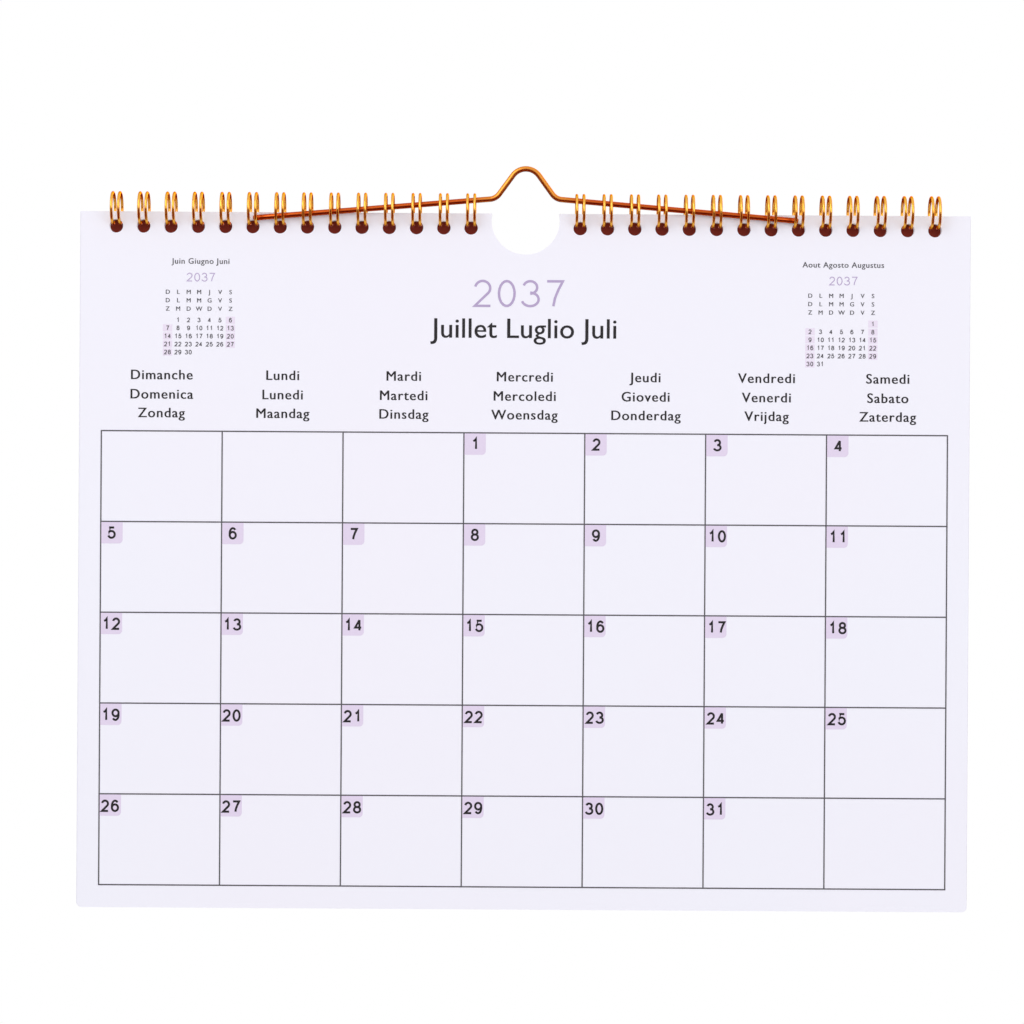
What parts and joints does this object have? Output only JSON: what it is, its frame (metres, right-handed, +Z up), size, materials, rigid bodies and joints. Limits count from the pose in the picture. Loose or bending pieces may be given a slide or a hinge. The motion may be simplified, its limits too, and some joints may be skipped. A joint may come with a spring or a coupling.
{
  "type": "wire-bound wall calendar",
  "caption": "Landscape wall calendar bound along its top edge by combs of twin-loop wire, with a bent wire hanger, a thumb notch and a ruled month leaf that turns up over the loops.",
  "frame": {"origin": "where a nail bears under the crown of the hanger, in the hanger's own plane", "axes": "+X to the reader's right, the printed side faces -Y, +Z up as it hangs"},
  "size_m": [0.2766, 0.0105, 0.2307],
  "materials": {
    "loop_wire": "gold lacquer, glossy",
    "hanger_wire": "gold lacquer, glossy",
    "front_paper": "matt uncoated",
    "block_paper": "matt uncoated",
    "grey_ink": "matt print",
    "lilac_ink": "matt print"
  },
  "bodies": {
    "binding": {"left_wire_comb": "loop_wire", "right_wire_comb": "loop_wire", "page_block": "block_paper"},
    "leaf": {"front_leaf": "front_paper", "month_grid": "grey_ink", "date_tabs": "lilac_ink"},
    "hanger": {"hanger_wire": "hanger_wire"}
  },
  "joints": [
    {"name": "leaf_turn", "type": "hinge", "parent": "binding", "child": "leaf", "pos_m": [0, 0.00167, -0.0119], "axis": [-1, 0, 0], "range_deg": [0, 140]},
    {"name": "hanger_swing", "type": "hinge", "parent": "binding", "child": "hanger", "pos_m": [0, 0.00167, -0.0119], "axis": [-1, 0, 0], "range_deg": [0, 140]}
  ],
  "couplings": [
    {"joint": "hanger_swing", "follows": "leaf_turn", "ratio": 1}
  ]
}
